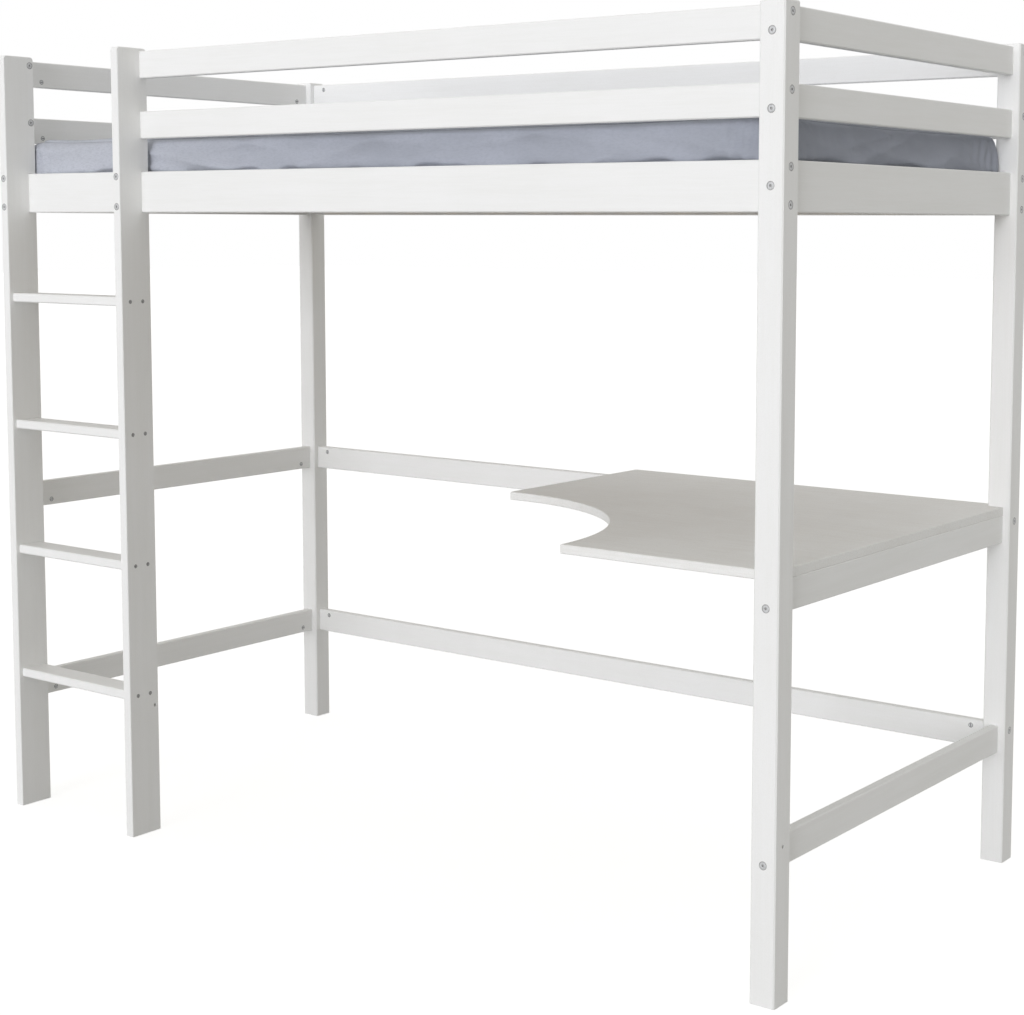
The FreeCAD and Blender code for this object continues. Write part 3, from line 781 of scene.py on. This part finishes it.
# It tucks in above the rails' top edge, along a lip that pinches lift, and rolls out over it. The pinches are
# the sum of three sines along the sides, the first of them bent by a slower one.
lip_drop, lip_rise = 0.002, 0.008
tuck_below, tuck_above, tuck_in = 0.005, 0.003, 0.013
roll_up, roll_width, roll_out = 0.011, 0.009, 0.002
rail_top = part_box("front_side_rail")[1].z - pad_middle[2]
pinch = np.sin(x * 31.3 + 1.9 * np.sin(x * 5.3 + 1.0) + y * 17 + 0.7)
pinch += 0.8 * np.sin(x * 11.9 + y * 23 + 2.2) + 0.4 * np.sin(x * 67 + y * 41)
lip = rail_top - lip_drop + lip_rise * step_up(pinch, -0.2, 2.0)
tuck = 1 - step_up(z, lip - tuck_below, lip + tuck_above)
roll = np.exp(-((z - lip - roll_up) / roll_width) ** 2)

# Upright folds gather round the corners, wider apart and lower as they go.
gather_from, gather_width, gather_pitch, gather_out = 0.03, 0.09, 0.025, 0.003
to_corner = np.maximum(full_half - np.abs(flat), 0).sum(axis=1)
gather = np.exp(-(np.maximum(to_corner - gather_from, 0) / gather_width) ** 2)
fold = gather * np.sin(2 * np.pi * (to_corner / gather_pitch) ** 0.9 + 0.8 * np.sin(z * 30))
pad[:, :2] += rim_way * (wall * (drag - tuck_in * tuck + roll_out * roll + gather_out * fold))[:, None]

# The top lies in low waves, each with its own way across the cover and a bend, that show in patches.
wave_count, wave_height, wave_from = 9, 0.0013, 0.03
wave_rate, wave_bend, patch_spread = (7, 26), 5, 4
waves = np.zeros(len(pad))
for count in range(wave_count):
    way = dice.normal(0, 1, 2) * (1.0, 1.6)
    straight = flat @ way * dice.uniform(*wave_rate)
    ripple = np.sin(straight + np.sin(flat @ way[::-1] * wave_bend) + dice.uniform(*any_start))
    spread = np.sin(flat @ dice.normal(0, patch_spread, 2) + dice.uniform(*any_start))
    waves += step_up(spread, -0.5, 1) * (1 - np.abs(ripple)) ** 2
pad[:, 2] += wave_height * waves * (1 - wall) * step_up(z, 0, wave_from)

# The seam of the upper edge draws the cover in. The lower edge has a seam too, which only the finish
# shows, as a bump and a groove of painted shade.
seam_in, seam_depth, seam_width = 0.02, 0.0018, 0.006
top_gap = rim_gap - seam_in - (pad_high[2] - pad[:, 2])
drawn_in = seam_depth * np.exp(-(top_gap / seam_width) ** 2)
pad[:, :2] -= rim_way * drawn_in[:, None]
pad[:, 2] -= drawn_in
bottom_gap = rim_gap - seam_in - (pad[:, 2] - pad_low[2])
seam_gap = np.where(z > 0, top_gap, bottom_gap)

# Nothing reaches the rails or the slats. Each corner is dented by its post: it gives way along its diagonal
# until it is clear of the post's inner edge, and the dent runs out softly on both sides.
room, clear, ease, dent_end = 0.003, 0.005, 0.004, 0.06
room_low = np.array([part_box("left_end_rail")[1].x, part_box("front_side_rail")[1].y]) + room
room_high = np.array([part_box("right_end_rail")[0].x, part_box("back_side_rail")[0].y]) - room
pad[:, :2] = np.clip(pad[:, :2], room_low, room_high)
pad[:, 2] = np.maximum(pad[:, 2], pad_low[2])
into = np.abs(pad[:, :2] - pad_middle[:2]) - (np.array([post_low.x, back_low.y]) - pad_middle[:2])
less, more = into.min(axis=1), into.max(axis=1)
apart = np.minimum(more - less, clear)
round_edge = more + (np.sqrt(2 * clear ** 2 - apart ** 2) - apart) / 2
give = np.where(more - less < clear, round_edge, less + clear)
dent = (give + np.hypot(give, ease)) / 2
pad[:, :2] -= np.sign(pad[:, :2] - pad_middle[:2]) * np.where(give > -dent_end, dent, 0)[:, None]

# Towards the top the corners are drawn in, again most on their diagonal, so that each ends like a ball.
ball_side, ball_from, ball_in, ball_most = 0.09, 0.06, 0.13, 1.1
flat = pad[:, :2] - pad_middle[:2]
inner, angle = corner_part(flat, full_half, ball_side)
share = np.clip((pad[:, 2] - pad_high[2]) / ball_from + 1, 0, ball_most)
drawn = ball_in * roundness(x) * np.sin(2 * angle) ** 2 * share ** 2
pad[:, :2] -= np.sign(flat) * inner * drawn[:, None]
put_points(sewn, pad)
sewn.attributes.new("seam_gap", "FLOAT", "POINT").data.foreach_set("value", seam_gap.astype(np.float32))

sewn.materials.clear()
sewn.materials.append(cotton())
sewn.shade_smooth()
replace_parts(cover, "mattress")
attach(cover, "loose_mattress")


# Floor, light and camera
# A plain pale floor under a white sky, with one broad soft lamp far out in front and a weaker one behind.
# The camera stands at the photograph's place, out from the front right corner, a little below the mattress.
pure_white = (1.0, 1.0, 1.0, 1.0)


def plainly_seen(surround):
    """1 for a ray from the camera, from a mirror or through glass, and 0 for light that falls on the bed."""
    kinds = ("Is Camera Ray", "Is Glossy Ray", "Is Transmission Ray")
    rays = [surround.node("ShaderNodeLightPath", out=kind) for kind in kinds]
    return rays[0].math("MINIMUM", rays[0] + rays[1] + rays[2], 1.0)


def bare_floor():
    """White to the eye where lit, darker where the bed shades it, and a pale grey to the light it returns."""
    floor = Finish(bpy.data.materials.new("studio_floor"))
    wear = floor.noise(floor.spot(), pitch=0.6, detail=2.0, roughness=0.5)
    tint = floor.mix(wear, shade(190, 190, 189), shade(195, 195, 194))
    matt = floor.node("ShaderNodeBsdfDiffuse", {}, {"Color": tint})
    glow = floor.node("ShaderNodeEmission", {}, {"Color": pure_white, "Strength": 0.71})
    lit = floor.node("ShaderNodeAddShader", {}, {0: matt, 1: glow})
    both = floor.node("ShaderNodeMixShader", {}, {0: plainly_seen(floor), 1: matt, 2: lit})
    floor.node("ShaderNodeOutputMaterial", {}, {"Surface": both})
    return floor.owner


reach = 40.0
floor_corners = [(-reach, -reach, 0), (reach, -reach, 0), (reach, reach, 0), (-reach, reach, 0)]
plain = bpy.data.meshes.new("studio_floor")
plain.from_pydata(floor_corners, [], [(0, 1, 2, 3)])
plain.materials.append(bare_floor())
ground = placed("studio_floor", plain)

sky = Finish(bpy.data.worlds.new("white_studio"))
soft = sky.node("ShaderNodeBackground", {}, {"Color": (1.0, 0.99, 0.955, 1.0), "Strength": 0.6})
white = sky.node("ShaderNodeBackground", {}, {"Color": pure_white, "Strength": 1.0})
both = sky.node("ShaderNodeMixShader", {}, {0: plainly_seen(sky), 1: soft, 2: white})
sky.node("ShaderNodeOutputWorld", {}, {"Surface": both})
bpy.context.scene.world = sky.owner


def aimed(thing, place, forward, roll=0.0):
    """Sets an object at a place, looking along forward, its right side level but for the roll."""
    forward = np.array(forward, float) / np.linalg.norm(forward)
    right = np.cross(forward, (0, 0, 1))
    right /= np.linalg.norm(right)
    up = np.cross(right, forward)
    stand = np.eye(4)
    stand[:3, 0] = right * np.cos(roll) + up * np.sin(roll)
    stand[:3, 1] = up * np.cos(roll) - right * np.sin(roll)
    stand[:3, 2] = -forward
    stand[:3, 3] = place
    thing.matrix_world = Matrix(stand.tolist())


front_lamp = bpy.data.lights.new("front_lamp", "SUN")
front_lamp.energy = 2.5
front_lamp.color = (0.94, 0.95, 1.0)
front_lamp.angle = np.radians(35)
aimed(placed("front_lamp", front_lamp), place=(1, -6, 2), forward=(-0.12, 1.0, -0.05))

# The back lamp lights the bed but leaves no bright patch of its own on the lacquer.
back_lamp = bpy.data.lights.new("back_lamp", "SUN")
back_lamp.energy = 1.25
back_lamp.color = (1.0, 0.99, 0.96)
back_lamp.angle = np.radians(14)
behind = placed("back_lamp", back_lamp)
behind.visible_glossy = False
aimed(behind, place=(-4, 6, 2), forward=(0.55, -0.83, -0.02))

# The focal length and the place of the line of sight are in pixels of the photograph's frame.
frame_width, frame_height = 1024, 1015
focal = 1887.93
sight_x, sight_y = 620.0, 400.0
turned_by, tipped_by, rolled_by = np.radians((35.6956, 5.3284, 0.2237))
camera_place = (2.66687, -3.19747, 1.35727)
lens = bpy.data.cameras.new("photo_camera")
lens.sensor_width = 36.0
lens.lens = focal * lens.sensor_width / frame_width
lens.shift_x = (frame_width / 2 - sight_x) / frame_width
lens.shift_y = (sight_y - frame_height / 2) / frame_width
lens.clip_start, lens.clip_end = 0.05, 200
camera = placed("photo_camera", lens)
look = (-np.sin(turned_by) * np.cos(tipped_by), np.cos(turned_by) * np.cos(tipped_by), -np.sin(tipped_by))
aimed(camera, camera_place, look, rolled_by)
bpy.context.scene.camera = camera
bpy.context.scene.view_settings.view_transform = "Standard"
